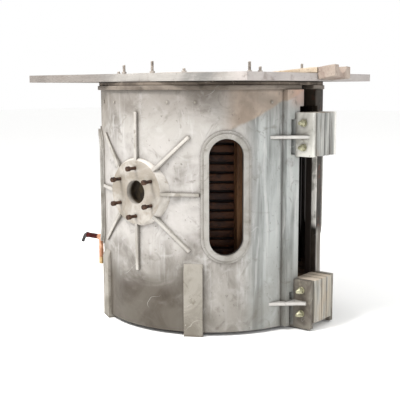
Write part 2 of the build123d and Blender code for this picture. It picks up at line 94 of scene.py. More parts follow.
def add_studio():
    add_softbox("key_softbox", at=(-3.4, 1.0, 4.6), aim=(-0.2, 0, 0.55), size=(1.6, 1.2), power=320,
                tint=(1.0, 0.985, 0.96))
    add_softbox("front_softbox", at=(-0.4, -5.0, 2.0), aim=(0, 0, 0.5), size=(3.0, 2.4), power=60,
                tint=(0.96, 0.985, 1.0))
    add_softbox("rear_softbox", at=(1.5, 4.2, 3.0), aim=(0, 0, 0.6), size=(3.0, 2.4), power=60,
                tint=(1.0, 1.0, 1.0))
    world = bpy.data.worlds.new("studio")
    world.use_nodes = True
    world.node_tree.nodes["Background"].inputs["Color"].default_value = (1, 1, 1, 1)
    world.node_tree.nodes["Background"].inputs["Strength"].default_value = 1.0
    bpy.context.scene.world = world
    bpy.context.scene.view_settings.view_transform = "Standard"


# Materials. Their patterns read Object coordinates, so places in them are in metres
def linear(code):
    """sRGB hex to linear colour."""
    values = [int(code[i:i + 2], 16) / 255 for i in (1, 3, 5)]
    return (*(v / 12.92 if v <= 0.04045 else ((v + 0.055) / 1.055) ** 2.4 for v in values), 1.0)


def add(tree, kind, inputs=None, out=0, **settings):
    """Adds one shader node with its settings and inputs, and gives one of its outputs."""
    node = tree.nodes.new("ShaderNode" + kind)
    for name, value in settings.items():
        setattr(node, name, value)
    for key, value in (inputs or {}).items():
        if isinstance(value, bpy.types.NodeSocket):
            tree.links.new(value, node.inputs[key])
        else:
            node.inputs[key].default_value = linear(value) if isinstance(value, str) else value
    return node.outputs[out]


def new_material(name, roughness, metallic=0.0):
    material = bpy.data.materials.new(name)
    material.use_nodes = True
    tree = material.node_tree
    shader = tree.nodes["Principled BSDF"]
    shader.inputs["Roughness"].default_value = roughness
    shader.inputs["Metallic"].default_value = metallic
    return material, tree, shader, tree.nodes.new("ShaderNodeTexCoord").outputs["Object"]


def cloud(tree, at, size_mm, detail=5.0, twist=0.6, stretch=(1, 1, 1), seed=0.0):
    """Cloudy pattern with clouds about size_mm across, narrower along an axis with a stretch above 1."""
    elsewhere = (seed, seed * 0.7, seed * 1.3)
    moved = add(tree, "Mapping", {"Vector": at, "Scale": stretch, "Location": elsewhere})
    return add(tree, "TexNoise", {"Vector": moved, "Scale": 500 / size_mm, "Detail": detail,
                                  "Roughness": 0.6, "Distortion": twist})


def patches(tree, pattern, start, full, most=1.0):
    """0 up to where a pattern has the value start, and most from its value full onwards, up or down."""
    return add(tree, "MapRange", {"Value": pattern, "From Min": start, "From Max": full, "To Max": most},
               interpolation_type="SMOOTHSTEP")


def times(tree, *factors):
    product = factors[0]
    for factor in factors[1:]:
        product = add(tree, "Math", {0: product, 1: factor}, operation="MULTIPLY")
    return product


def lay(tree, under, over, mask):
    """One colour on another where the mask is 1."""
    return add(tree, "Mix", {0: mask, 6: under, 7: over}, out=2, data_type="RGBA")


def relief(tree, shader, *layers):
    """Bump in layers of (pattern, depth in mm)."""
    normal = None
    for pattern, depth in layers:
        values = {"Height": pattern, "Distance": depth * MM}
        if normal:
            values["Normal"] = normal
        normal = add(tree, "Bump", values)
    tree.links.new(normal, shader.inputs["Normal"])


def chalk_lines(tree, at, size_mm, width, seed):
    """Thin wandering lines here and there, as chalk and scriber leave on plate."""
    path = cloud(tree, at, size_mm, 1.0, 1.4, seed=seed)
    beside = add(tree, "Math", {0: path, 1: 0.5}, operation="SUBTRACT")
    off = add(tree, "Math", {0: beside}, operation="ABSOLUTE")
    line = add(tree, "MapRange", {"Value": off, "From Min": width, "From Max": width * 0.3})
    return times(tree, line, patches(tree, cloud(tree, at, size_mm * 1.6, 2.0, seed=seed + 3), 0.52, 0.60))


def dirt_and_painted_shade(tree, colour, dark, reach_mm, most):
    """Dirt and painted shade that darken corners and the sides of edges, as far out of them as reach_mm."""
    # painted shade: ambient occlusion darkens the colour in corners and creases, together with settled dirt
    open_sky = add(tree, "AmbientOcclusion", {"Distance": reach_mm * MM}, out=1, samples=4)
    shade_and_dirt_mask = add(tree, "MapRange", {"Value": open_sky, "From Min": 0.95, "From Max": 0.45, "To Max": most})
    return lay(tree, colour, dark, shade_and_dirt_mask)


def off_axis(tree, at, keep, centre=(0, 0, 0)):
    """Distance in metres from an axis through a centre; keep is -1 for each direction across the axis."""
    flat = add(tree, "VectorMath", {0: at, 1: keep, 2: centre}, operation="MULTIPLY_ADD")
    return add(tree, "VectorMath", {0: flat}, out=1, operation="LENGTH")


def lay_on_top(tree, over, mask):
    """Adds a last colour to a finished material where the mask is 1."""
    base = tree.nodes["Principled BSDF"].inputs["Base Color"]
    tree.links.new(lay(tree, base.links[0].from_socket, over, mask), base)


def aluminium_plate():
    """Rolled aluminium plate with years of oxide, wiped and scraped: matt, clouded and streaked upright
    beside the splits, brown with foundry dust high up, sooty low down by the trunnions, and darker
    with painted shade under the flange, towards the foot, on the cut faces, inside and in corners."""
    material, tree, shader, at = new_material("weathered_rolled_aluminium", 0.55, 0.3)
    x = add(tree, "Math", {0: add(tree, "SeparateXYZ", {0: at})}, operation="ABSOLUTE")
    y = add(tree, "Math", {0: add(tree, "SeparateXYZ", {0: at}, out=1)}, operation="ABSOLUTE")
    z = add(tree, "SeparateXYZ", {0: at}, out=2)
    turn = times(tree, add(tree, "Math", {0: y, 1: x}, operation="ARCTAN2"), 180 / math.pi)
    swirl = cloud(tree, at, 150, 7, 1.6)
    streak = cloud(tree, at, 30, 6, 0.4, (1, 1, 0.08))
    colour = lay(tree, "#746f69", "#a7a39e", patches(tree, swirl, 0.34, 0.62))
    bare = patches(tree, cloud(tree, at, 46, 7, 1.8, seed=3), 0.50, 0.66, 0.55)
    colour = lay(tree, colour, "#b3b0ad", bare)
    cool = lay(tree, "#6e716f", "#a3a6a4", patches(tree, streak, 0.36, 0.60))
    colour = lay(tree, colour, cool, patches(tree, turn, 50, 60, 0.9))
    scrapes = patches(tree, cloud(tree, at, 18, 7, 0.3, (1, 1, 0.12), 5), 0.54, 0.68, 0.5)
    colour = lay(tree, colour, "#c0bebc", scrapes)
    # dust above a wandering edge that rises 4 mm a degree towards the splits, pinker in the corner
    slope = add(tree, "Math", {0: turn, 1: -4.0 * MM, 2: z}, operation="MULTIPLY_ADD")
    wavy = add(tree, "Math", {0: cloud(tree, at, 120, 4), 1: 50 * MM, 2: slope}, operation="MULTIPLY_ADD")
    over_edge = times(tree, patches(tree, wavy, 0.682, 0.697), patches(tree, turn, 40, 52, 0.85))
    dust = lay(tree, "#8b7a6a", "#b3a08f", patches(tree, cloud(tree, at, 120, 6, 1.0, seed=9), 0.36, 0.62))
    colour = lay(tree, colour, dust, over_edge)
    corner = times(tree, patches(tree, turn, 72, 81, 0.6), patches(tree, z, 0.91, 0.97))
    colour = lay(tree, colour, "#a78372", corner)
    # painted shade under the flange, darker in clouds
    flange_shade_clouds = patches(tree, cloud(tree, at, 210, 6, 1.0, seed=7), 0.32, 0.58, 0.6)
    colour = lay(tree, colour, "#696057", times(tree, patches(tree, z, 0.84, 0.99), flange_shade_clouds))
    # soot low down near the trunnions, and painted shade darkening the foot all round, in clouds
    mottle = patches(tree, cloud(tree, at, 150, 8, 0.8, (1, 1, 2), 2), 0.20, 0.50, 0.95)
    soot = times(tree, patches(tree, z, 0.36, 0.16), patches(tree, turn, 42, 18), mottle)
    colour = lay(tree, colour, "#362b1f", soot)
    dull = times(tree, add(tree, "MapRange", {"Value": z, "From Min": 0.42, "From Max": 0.10}),
                 patches(tree, cloud(tree, at, 90, 6, 1.0, seed=8), 0.25, 0.60, 0.55))
    colour = lay(tree, colour, "#6b665d", dull)
    # the rear, which nobody wipes
    rearwards = add(tree, "SeparateXYZ", {0: at}, out=1)
    shades = patches(tree, cloud(tree, at, 110, 7, 1.6, seed=13), 0.34, 0.62)
    unwiped = lay(tree, "#5c5347", "#7d7467", shades)
    colour = lay(tree, colour, unwiped, patches(tree, rearwards, 0.14, 0.36, 0.8))
    # wiped paler at the height of the windows
    wiped = patches(tree, cloud(tree, at, 130, 6, 1.2, seed=11), 0.30, 0.56, 0.55)
    middle = times(tree, patches(tree, z, 0.30, 0.46), wiped,
                   add(tree, "MapRange", {"Value": z, "From Min": 0.88, "From Max": 0.76}),
                   add(tree, "MapRange", {"Value": turn, "From Min": 62, "From Max": 50}))
    colour = lay(tree, colour, "#bcb8b5", middle)
    soil = patches(tree, cloud(tree, at, 55, 8, 2.0, seed=4), 0.56, 0.72, 0.5)
    colour = lay(tree, colour, "#5b544b", soil)
    # chalk at the front, and specks all over
    chalked = add(tree, "MapRange", {"Value": rearwards, "From Min": 0.25, "From Max": 0.0, "To Max": 0.4})
    colour = lay(tree, colour, "#dfdddb", times(tree, chalk_lines(tree, at, 120, 0.004, 1.0), chalked))
    colour = lay(tree, colour, "#504942", patches(tree, cloud(tree, at, 6, 3, seed=6), 0.65, 0.73, 0.55))
    # painted shade: the cut faces at the splits and the inside of the wall, nearly black
    radius = off_axis(tree, at, (-1, -1, 0))
    beside_split = add(tree, "MapRange", {"Value": x, "From Min": (SPLIT_X + 1) * MM,
                                          "From Max": (SPLIT_X + 0.2) * MM})
    under_skin = add(tree, "MapRange", {"Value": radius, "From Min": (SHELL_R + 0.2) * MM,
                                        "From Max": (SHELL_R - 0.5) * MM})
    colour = lay(tree, colour, "#352c26", times(tree, beside_split, under_skin))
    inside = add(tree, "MapRange", {"Value": radius, "From Min": (SHELL_R - 2.5) * MM,
                                    "From Max": (SHELL_R - 7.5) * MM, "To Max": 0.95})
    colour = lay(tree, colour, "#1f1712", inside)
    colour = dirt_and_painted_shade(tree, colour, "#4a4239", 13, 0.65)
    tree.links.new(colour, shader.inputs["Base Color"])
    worn = add(tree, "MapRange", {"Value": swirl, "To Min": 0.68, "To Max": 0.42})
    tree.links.new(worn, shader.inputs["Roughness"])
    relief(tree, shader, (cloud(tree, at, 80, 3), 4.0), (streak, 0.6), (cloud(tree, at, 5, 5), 0.5))
    return material


def cast_aluminium(name, pale, dull, soil, seed):
    """Sand-cast or sawn aluminium, fettled and wiped: matt, with a fine grain and soiled hollows,
    and painted shade in corners.
    """
    material, tree, shader, at = new_material(name, 0.58, 0.25)
    swirl = cloud(tree, at, 90, 7, 1.2, seed=seed)
    colour = lay(tree, dull, pale, patches(tree, swirl, 0.34, 0.62))
    hollows = patches(tree, cloud(tree, at, 40, 8, 1.8, seed=seed + 2), 0.55, 0.72, 0.6)
    colour = lay(tree, colour, soil, hollows)
    colour = lay(tree, colour, "#e2dfda", times(tree, chalk_lines(tree, at, 70, 0.006, seed + 1), 0.25))
    colour = lay(tree, colour, "#5b534a", patches(tree, cloud(tree, at, 5, 3, seed=seed), 0.64, 0.72, 0.5))
    colour = dirt_and_painted_shade(tree, colour, "#4e463c", 14, 0.75)
    tree.links.new(colour, shader.inputs["Base Color"])
    worn = add(tree, "MapRange", {"Value": swirl, "To Min": 0.72, "To Max": 0.48})
    tree.links.new(worn, shader.inputs["Roughness"])
    grain = cloud(tree, at, 3.5, 4, seed=seed)
    relief(tree, shader, (cloud(tree, at, 35, 4, seed=seed), 1.5), (grain, 0.5))
    return material


def hub_casting():
    """The same casting round the bores: dark brown deep in the bores, and darker in clouds on the flat
    face.
    """
    material = cast_aluminium("dark_bored_cast_aluminium", "#c3beb8", "#a19b93", "#7b7163", 1.0)
    tree = material.node_tree
    at = add(tree, "TexCoord", out=3)
    off_bore = off_axis(tree, at, (0, -1, -1), (0, 0, HUB_Z * MM))
    inside = add(tree, "MapRange", {"Value": off_bore, "From Min": (BORE_R + 0.8) * MM,
                                    "From Max": BORE_R * MM})
    out_from_middle = add(tree, "Math", {0: add(tree, "SeparateXYZ", {0: at})}, operation="ABSOLUTE")
    deep = add(tree, "MapRange", {"Value": out_from_middle, "From Min": (HUB_FACE_X - 14) * MM,
                                  "From Max": (HUB_FACE_X - 30) * MM})
    dark_in_bore = lay(tree, "#231a0e", "#3e321e", patches(tree, cloud(tree, at, 20), 0.4, 0.6))
    lay_on_top(tree, dark_in_bore, times(tree, inside, deep))
    # the flat face of each hub, darker brown-grey in clouds
    face = add(tree, "MapRange", {"Value": out_from_middle, "From Min": (HUB_FACE_X - 1.8) * MM,
                                  "From Max": (HUB_FACE_X - 0.4) * MM})
    darker_face_clouds = patches(tree, cloud(tree, at, 70, 6, 1.2, seed=2), 0.30, 0.62, 0.75)
    lay_on_top(tree, "#857b6d", times(tree, face, darker_face_clouds))
    return material


def ear_plate(name, pale, dull):
    """Sawn aluminium plate with painted shade round its screws, next to the shell, and a painted
    highlight on the gusset.
    """
    material = cast_aluminium(name, pale, dull, "#8d8578", 7.0)
    tree = material.node_tree
    at = add(tree, "TexCoord", out=3)
    y = add(tree, "Math", {0: add(tree, "SeparateXYZ", {0: at}, out=1)}, operation="ABSOLUTE")
    next_to_shell = add(tree, "MapRange", {"Value": y, "From Min": (SHELL_R + 28) * MM,
                                           "From Max": (SHELL_R + 8) * MM})
    # painted shade in the pocket next to the shell, round the screws
    shade_beside_shell = patches(tree, cloud(tree, at, 22, 6, 1.5, seed=3), 0.38, 0.58, 0.8)
    lay_on_top(tree, "#6f6a66", times(tree, next_to_shell, shade_beside_shell))
    x = add(tree, "Math", {0: add(tree, "SeparateXYZ", {0: at})}, operation="ABSOLUTE")
    # painted highlight: a pale line along the gusset, in clouds
    gusset = patches(tree, x, (EAR_FACE_X + 2) * MM, (EAR_FACE_X + 7) * MM, 0.75)
    scraped = patches(tree, cloud(tree, at, 40, 6, 1.5, seed=5), 0.3, 0.5)
    lay_on_top(tree, "#cbc8c4", times(tree, gusset, scraped))
    return material


def shaded_rusty_bar():
    """The edge bar in the shade of the spout: dark brown with painted shade, and rusty; a painted highlight
    on the bare metal of its narrow face between the ears, and plain grey at its foot and at the rear."""
    # painted shade: the bar's own colours are dark brown for the shade of the spout, with rust among them
    material = cast_aluminium("shaded_rusty_aluminium_bar", "#37312a", "#211d19", "#5c301d", 12.0)
    tree = material.node_tree
    shader = tree.nodes["Principled BSDF"]
    shader.inputs["Metallic"].default_value = 0.0
    shader.inputs["Specular IOR Level"].default_value = 0.15
    at = add(tree, "TexCoord", out=3)
    x = add(tree, "SeparateXYZ", {0: at})
    # painted highlight on the bare metal of the narrow face between the ears
    bare = add(tree, "MapRange", {"Value": x, "From Min": (SPLIT_X + 6) * MM,
                                  "From Max": (SPLIT_X + 2) * MM})
    lit_bare_metal = lay(tree, "#9f9c96", "#dad7d1", patches(tree, cloud(tree, at, 30), 0.4, 0.6))
    z = add(tree, "SeparateXYZ", {0: at}, out=2)
    between_ears = times(tree, patches(tree, z, 0.40, 0.44),
                         add(tree, "MapRange", {"Value": z, "From Min": 0.84, "From Max": 0.80}))
    lay_on_top(tree, lit_bare_metal, times(tree, bare, between_ears))
    streak = cloud(tree, at, 25, 7, 1.0, (1, 1, 0.2))
    grey = lay(tree, "#6d675f", "#918d87", patches(tree, streak, 0.4, 0.6))
    below = times(tree, add(tree, "MapRange", {"Value": z, "From Min": 0.42, "From Max": 0.38}),
                  patches(tree, x, (SPLIT_X + 6) * MM, (SPLIT_X + 12) * MM))
    lay_on_top(tree, grey, below)
    rear = patches(tree, add(tree, "SeparateXYZ", {0: at}, out=1), -0.1, 0.1)
    lay_on_top(tree, grey, rear)
    return material


def cement_board():
    """Fibre-cement insulating board, saw-cut: flat grey with pale dust, brown drips and a fibrous edge."""
    material, tree, shader, at = new_material("fibre_cement_board", 0.9)
    fibre = cloud(tree, at, 9, 6, 0.4, (0.25, 0.25, 2.5), 2)
    colour = lay(tree, "#73716e", "#9b9792", patches(tree, cloud(tree, at, 150, 6, 1.2), 0.34, 0.64))
    colour = lay(tree, colour, "#b2aeaa", patches(tree, fibre, 0.45, 0.70, 0.25))
    y = add(tree, "SeparateXYZ", {0: at}, out=1)
    colour = lay(tree, colour, "#6d645f", patches(tree, y, 0.05, 0.30, 0.6))
    front = add(tree, "MapRange", {"Value": y, "From Min": -0.44, "From Max": -0.52, "To Max": 0.5})
    colour = lay(tree, colour, "#b9b0ad", front)
    drips = patches(tree, cloud(tree, at, 80, 8, 2.0, seed=5), 0.55, 0.72, 0.55)
    colour = lay(tree, colour, "#685d56", drips)
    colour = lay(tree, colour, "#4d4843", patches(tree, cloud(tree, at, 4, 3, seed=1), 0.62, 0.70, 0.5))
    tree.links.new(colour, shader.inputs["Base Color"])
    relief(tree, shader, (cloud(tree, at, 45, 5), 2.0), (fibre, 0.8), (cloud(tree, at, 3, 4), 0.5))
    return material


def dusty_ring():
    """Packing ring of turned cement board under years of foundry dust: brown, crumbly, and dark at its top
    with a painted shadow of the board.
    """
    material, tree, shader, at = new_material("dusty_turned_board", 0.92)
    z = add(tree, "SeparateXYZ", {0: at}, out=2)
    colour = lay(tree, "#4a4139", "#74695e", patches(tree, cloud(tree, at, 110, 7, 1.6), 0.36, 0.62))
    # painted shadow right under the board
    shadow_under_board = patches(tree, z, 1.033, 1.040, 0.75)
    colour = lay(tree, colour, "#251f1c", shadow_under_board)
    crumbs = patches(tree, cloud(tree, at, 8, 5, 1.5, seed=3), 0.58, 0.68, 0.7)
    colour = lay(tree, colour, "#8b8175", crumbs)
    tree.links.new(colour, shader.inputs["Base Color"])
    relief(tree, shader, (cloud(tree, at, 28, 5), 2.5), (cloud(tree, at, 4, 5), 0.8))
    return material


def glass_laminate():
    """Glass-cloth laminate sawn from sheet: grey and dull, streaked by the saw, dusty on top."""
    material, tree, shader, at = new_material("sawn_glass_laminate", 0.78)
    streak = cloud(tree, at, 10, 6, 0.4, (1, 1, 0.10))
    colour = lay(tree, "#747572", "#a4a39e", patches(tree, streak, 0.34, 0.66))
    stain = patches(tree, cloud(tree, at, 60, 7, 1.4, seed=2), 0.50, 0.70, 0.55)
    colour = lay(tree, colour, "#817264", stain)
    facing_up = add(tree, "SeparateXYZ", {0: add(tree, "NewGeometry", out=1)}, out=2)
    colour = lay(tree, colour, "#b5a797", patches(tree, facing_up, 0.6, 0.9, 0.9))
    z = add(tree, "SeparateXYZ", {0: at}, out=2)
    low = add(tree, "MapRange", {"Value": z, "From Min": 0.30, "From Max": 0.22})
    dusty = patches(tree, cloud(tree, at, 25, 7, 1.0, (1, 1, 0.15), 6), 0.36, 0.62, 0.7)
    colour = lay(tree, colour, "#a99d8b", times(tree, low, dusty))
    plies = patches(tree, cloud(tree, at, 11, 2, 0.2, (1, 0.03, 0.03), 9), 0.56, 0.62, 0.6)
    colour = lay(tree, colour, "#4d4841", plies)
    colour = dirt_and_painted_shade(tree, colour, "#3a342d", 7, 0.9)
    tree.links.new(colour, shader.inputs["Base Color"])
    relief(tree, shader, (streak, 1.0), (cloud(tree, at, 5, 4), 0.4))
    return material


def refractory(name, pale, warm, dark, seed):
    """Alumina mix, rammed and dried: chalky and porous, with grit, and soiled where metal has run."""
    material, tree, shader, at = new_material(name, 0.95)
    colour = lay(tree, warm, pale, patches(tree, cloud(tree, at, 60, 7, 1.4, seed=seed), 0.36, 0.62))
    grit = patches(tree, cloud(tree, at, 4, 4, 0.5, seed=seed + 1), 0.58, 0.68, 0.6)
    colour = lay(tree, colour, dark, grit)
    soil = patches(tree, cloud(tree, at, 28, 8, 2.2, seed=seed + 2), 0.56, 0.70, 0.5)
    colour = lay(tree, colour, dark, soil)
    tree.links.new(colour, shader.inputs["Base Color"])
    relief(tree, shader, (cloud(tree, at, 30, 6, seed=seed), 3.0), (cloud(tree, at, 4, 5, seed=seed), 1.2))
    return material


def coil_varnish():
    """Copper tube under baked insulating varnish: brown-black, half glossy and redder where rubbed."""
    material, tree, shader, at = new_material("baked_varnish_on_copper", 0.55)
    baked = patches(tree, cloud(tree, at, 50, 5, 0.4, (1, 1, 2)), 0.36, 0.64)
    colour = lay(tree, "#220c05", "#50301d", baked)
    rubbed = patches(tree, cloud(tree, at, 20, 5, 0.4, (1, 1, 2), 3), 0.56, 0.70, 0.6)
    colour = lay(tree, colour, "#6b3a20", rubbed)
    tree.links.new(colour, shader.inputs["Base Color"])
    shader.inputs["Specular IOR Level"].default_value = 0.25
    relief(tree, shader, (cloud(tree, at, 15, 5), 1.2), (cloud(tree, at, 3, 3), 0.2))
    return material


def small_finish(name, dark, pale, roughness, metallic, size_mm, depth_mm, seed=0.0, stretch=(1, 1, 1),
                 shine=0.5):
    """Two tones in clouds of size_mm with finer wear on them, and a grain as deep as depth_mm."""
    material, tree, shader, at = new_material(name, roughness, metallic)
    shader.inputs["Specular IOR Level"].default_value = shine
    tone = cloud(tree, at, size_mm, 6, 1.0, stretch, seed)
    colour = lay(tree, dark, pale, patches(tree, tone, 0.34, 0.64))
    wear = patches(tree, cloud(tree, at, size_mm / 5, 4, seed=seed + 1), 0.58, 0.70, 0.5)
    colour = lay(tree, colour, dark, wear)
    tree.links.new(colour, shader.inputs["Base Color"])
    worn = add(tree, "MapRange", {"Value": tone, "To Min": roughness + 0.12, "To Max": roughness - 0.1})
    tree.links.new(worn, shader.inputs["Roughness"])
    relief(tree, shader, (tone, depth_mm))
    return material


def shade_under_board(material, height):
    """Paints shade: blackens what stands under a height in metres, inside the furnace."""
    tree = material.node_tree
    z = add(tree, "SeparateXYZ", {0: add(tree, "TexCoord", out=3)}, out=2)
    under = add(tree, "MapRange", {"Value": z, "From Min": height + 0.01, "From Max": height})
    lay_on_top(tree, "#15100d", under)


# Aluminium: grey and matt, paler where it is scraped or wiped, brown where it is soiled,
# and darker with painted shade in its corners
SHELL = aluminium_plate()
HUB = cast_aluminium("fettled_cast_aluminium", "#b4b0aa", "#918c84", "#6e6559", 1.0)
RIM = cast_aluminium("filed_aluminium_rim", "#9d9a95", "#7e7a73", "#60584d", 2.0)
BORED_HUB = hub_casting()
SHADED_RUSTY_BAR = shaded_rusty_bar()
BAR = cast_aluminium("dusty_aluminium_bar", "#928d84", "#746e64", "#5b5242", 4.0)
EAR = ear_plate("scraped_aluminium_plate", "#dcdad3", "#b5b3ac")
LOW_EAR = ear_plate("soiled_aluminium_plate", "#7a756b", "#4d453d")
FLANGE = cast_aluminium("soiled_aluminium_flange", "#7b7167", "#595047", "#3b342d", 9.0)
# Board, packing ring and laminate: flat and dusty, without a shine
BOARD = cement_board()
RING = dusty_ring()
LAMINATE = glass_laminate()
# Refractory: chalky and porous, cream at the spout, pink at its nose, brown and sooty at the floor
LINING = refractory("rammed_alumina_lining", "#a89b8a", "#8c7c6a", "#645545", 0.0)
SPOUT = refractory("rammed_alumina_spout", "#c2b39f", "#ac9a84", "#816f5c", 3.0)
NOSE = refractory("pink_alumina_nose", "#a2958a", "#89786e", "#61534d", 5.0)
CONCRETE = refractory("sooty_floor_concrete", "#6d5745", "#493829", "#2c211a", 6.0)
VARNISH = coil_varnish()
# Mica sheet under varnish: painted nearly black as painted shade, in the shadow of the coil
MICA = small_finish("shaded_mica_sheet", "#0f0705", "#24110c", roughness=0.7, metallic=0.0, size_mm=60,
                    depth_mm=0.8)
# Hardwood soaked in varnish: brown with upright grain
POST = small_finish("varnished_hardwood", "#553722", "#8a6443", roughness=0.55, metallic=0.0, size_mm=30,
                    depth_mm=0.8, seed=2.0, stretch=(1, 1, 0.10))
# Copper tube under red-brown varnish: smooth, deep maroon
LEAD = small_finish("maroon_varnish_on_copper", "#2a0504", "#4c110c", roughness=0.6, metallic=0.0,
                    size_mm=30, depth_mm=0.3, seed=1.0, shine=0.12)
# Bare drawn copper tube, tarnished: salmon with brown clouds
COPPER = small_finish("tarnished_drawn_copper", "#ab7a5e", "#deb094", roughness=0.42, metallic=0.9,
                      size_mm=25, depth_mm=0.2, seed=2.0)
# Machined brass, dulled: pale yellow-brown
BRASS = small_finish("dulled_machined_brass", "#86683f", "#c6aa7e", roughness=0.4, metallic=0.9,
                     size_mm=18, depth_mm=0.2, seed=3.0)
# Steel under dark paint: near black, slightly worn
PAINTED = small_finish("dark_painted_steel", "#191717", "#3b3737", roughness=0.5, metallic=0.1,
                       size_mm=18, depth_mm=0.2, seed=4.0)
# Steel screws left to rust: dark red-brown and scaly
RUST = small_finish("rusted_steel", "#1f130c", "#4c3425", roughness=0.85, metallic=0.2, size_mm=10,
                    depth_mm=0.8, seed=5.0)
# Zinc plate with yellow passivation: pale greenish gold
YELLOW_ZINC = small_finish("yellow_passivated_zinc", "#85836a", "#bdbaa0", roughness=0.42, metallic=0.8,
                           size_mm=12, depth_mm=0.15, seed=6.0)
# Zinc plate, handled and dusty: pinkish grey, and painted black with shade where it stands inside the
# furnace
ZINC = small_finish("dusty_zinc_plate", "#8b827b", "#c3bbb3", roughness=0.48, metallic=0.6, size_mm=12,
                    depth_mm=0.15, seed=7.0)
shade_under_board(ZINC, 1.0)


# Tools for modelling. Points closer than the merge distances, in metres, become one
MERGE = 1e-6
CAD_MERGE = 2e-5


def only(piece):
    bpy.ops.object.select_all(action="DESELECT")
    piece.select_set(True)
    bpy.context.view_layer.objects.active = piece


def edit(piece, *steps):
    """Runs edit-mode steps on the whole piece, each an operator with its settings."""
    only(piece)
    bpy.ops.object.mode_set(mode="EDIT")
    bpy.ops.mesh.select_all(action="SELECT")
    for operator, settings in steps:
        operator(**settings)
    bpy.ops.object.mode_set(mode="OBJECT")


def shape(piece, kind, **settings):
    """Adds a modifier and applies it."""
    modifier = piece.modifiers.new(kind.lower(), kind)
    for name, value in settings.items():
        setattr(modifier, name, value)
    only(piece)
    bpy.ops.object.modifier_apply(modifier=modifier.name)


def rounded(piece, edge_mm, segments):
    shape(piece, "BEVEL", width=edge_mm * MM, segments=segments, limit_method="ANGLE",
          angle_limit=math.radians(30))


def combine(piece, tool, operation):
    """Cuts a piece with a tool piece, or keeps what both share, and throws the tool away."""
    shape(piece, "BOOLEAN", operation=operation, object=tool, solver="EXACT")
    bpy.data.objects.remove(tool)


def join(pieces):
    bpy.ops.object.select_all(action="DESELECT")
    for piece in pieces:
        piece.select_set(True)
    bpy.context.view_layer.objects.active = pieces[0]
    if len(pieces) > 1:
        bpy.ops.object.join()
    return pieces[0]


def place_in_mesh(piece):
    only(piece)
    bpy.ops.object.transform_apply(location=True, rotation=True, scale=True)
    return piece


def finish(piece, name, material, smooth=35):
    """Cleans a piece, gives it its name and finish, and lets it ride on the furnace."""
    place_in_mesh(piece)
    edit(piece, (bpy.ops.mesh.remove_doubles, {"threshold": MERGE}),
         (bpy.ops.mesh.normals_make_consistent, {"inside": False}))
    bpy.ops.object.shade_smooth_by_angle(angle=math.radians(smooth))
    piece.name = name
    piece.data.name = name
    piece.data.materials.clear()
    piece.data.materials.append(material)
    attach(piece, "root")
    return piece


def copy_to(model, place):
    """Copy of a model with its own mesh, put at a place."""
    piece = model.copy()
    piece.data = model.data.copy()
    bpy.context.scene.collection.objects.link(piece)
    piece.matrix_world = place @ model.matrix_world
    return piece


def repeated(model, places, name, material):
    """One piece made of copies of a model, which is then thrown away."""
    copies = [copy_to(model, place) for place in places]
    bpy.data.objects.remove(model)
    return finish(join(copies), name, material)


def at_mm(x, y, z):
    return Matrix.Translation(Vector((x, y, z)) * MM)


def facing(direction, x, y, z):
    """Place at x, y, z in mm for a model whose top then looks in a direction."""
    return at_mm(x, y, z) @ Vector(direction).to_track_quat("Z", "Y").to_matrix().to_4x4()


def mm_box(name):
    low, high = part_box(name)
    return Vector(low) / MM, Vector(high) / MM


def solids(name):
    """Low and high corners, in mm, of each separate solid of a CAD node."""
    copy = nodes[name].copy()
    copy.data = nodes[name].data.copy()
    bpy.context.scene.collection.objects.link(copy)
    edit(copy, (bpy.ops.mesh.remove_doubles, {"threshold": CAD_MERGE}),
         (bpy.ops.mesh.separate, {"type": "LOOSE"}))
    corners = []
    for part in list(bpy.context.selected_objects):
        places = [part.matrix_world @ vertex.co / MM for vertex in part.data.vertices]
        low = Vector([min(place[i] for place in places) for i in range(3)])
        high = Vector([max(place[i] for place in places) for i in range(3)])
        corners.append((low, high))
        bpy.data.objects.remove(part)
    return corners


def turned(profile, sides=40, capped=True):
    """Round piece about Z, drawn ring by ring through points of (radius, height) in mm."""
    radius, height = profile[0]
    bpy.ops.object.select_all(action="DESELECT")
    bpy.ops.mesh.primitive_circle_add(vertices=sides, radius=radius * MM, location=(0, 0, height * MM),
                                      fill_type="NGON" if capped else "NOTHING")
    piece = bpy.context.object
    bpy.ops.object.mode_set(mode="EDIT")
    bpy.ops.mesh.select_all(action="SELECT")
    for next_radius, next_height in profile[1:]:
        rise = (0, 0, (next_height - height) * MM)
        bpy.ops.mesh.extrude_edges_move(TRANSFORM_OT_translate={"value": rise})
        ratio = next_radius / radius
        bpy.ops.transform.resize(value=(ratio, ratio, 1))
        radius, height = next_radius, next_height
    if capped:
        bpy.ops.mesh.edge_face_add()
    else:
        bpy.ops.mesh.select_all(action="SELECT")
        bpy.ops.mesh.remove_doubles(threshold=MERGE)
    bpy.ops.object.mode_set(mode="OBJECT")
    return place_in_mesh(piece)


def bar(low, high, edge_mm):
    """Square bar between two corners in mm, with its edges eased."""
    low = Vector(low)
    high = Vector(high)
    bpy.ops.object.select_all(action="DESELECT")
    bpy.ops.mesh.primitive_cube_add(size=1, location=(low + high) / 2 * MM, scale=(high - low) * MM)
    piece = place_in_mesh(bpy.context.object)
    rounded(piece, edge_mm, 2)
    return piece


def hexagon(across, z0, z1, chamfer=1.1):
    """Hexagon of a nut or a bolt head, its corners turned off at both ends."""
    corner = across / math.sqrt(3)
    end_r = across / 2 - 0.3
    outer_r = corner + 0.01
    piece = turned([(corner, z0), (corner, z1)], 6)
    outline = [(end_r, z0), (outer_r, z0 + chamfer), (outer_r, z1 - chamfer), (end_r, z1)]
    combine(piece, turned(outline, 48), "INTERSECT")
    return piece


def washer(radius, bore, z0, z1):
    """Flat ring with its outer edges broken."""
    edge = 0.4
    ring = [(bore, z0), (radius - edge, z0), (radius, z0 + edge), (radius, z1 - edge), (radius - edge, z1),
            (bore, z1), (bore, z0)]
    return turned(ring, 40, capped=False)


